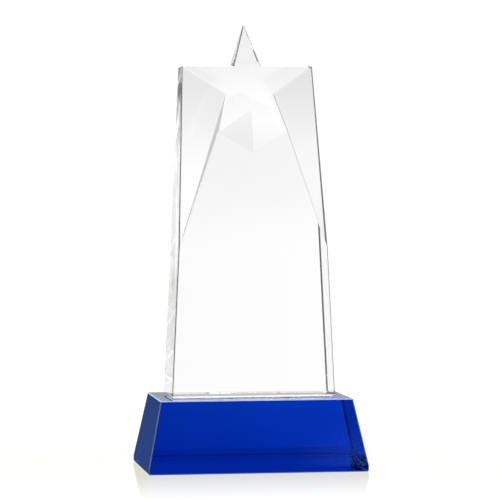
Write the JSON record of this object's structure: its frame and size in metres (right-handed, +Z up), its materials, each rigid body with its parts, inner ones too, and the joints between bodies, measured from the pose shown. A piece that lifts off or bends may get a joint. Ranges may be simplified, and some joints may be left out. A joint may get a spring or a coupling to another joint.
{
  "type": "star tower award",
  "caption": "Free-standing clear crystal tower award with a five-pointed star cut into its head, on a blue crystal base.",
  "frame": {"origin": "centre of the base's underside", "axes": "+Z up along the tower, -Y the way the star faces, +X to the award's right as seen from the front"},
  "size_m": [0.1, 0.065, 0.2034],
  "materials": {
    "clear_crystal": "polished",
    "blue_crystal": "polished",
    "clear_adhesive": "satin"
  },
  "bodies": {
    "root": {"crystal_star_tower": "clear_crystal", "blue_crystal_base": "blue_crystal", "adhesive_bond": "clear_adhesive"}
  },
  "joints": []
}
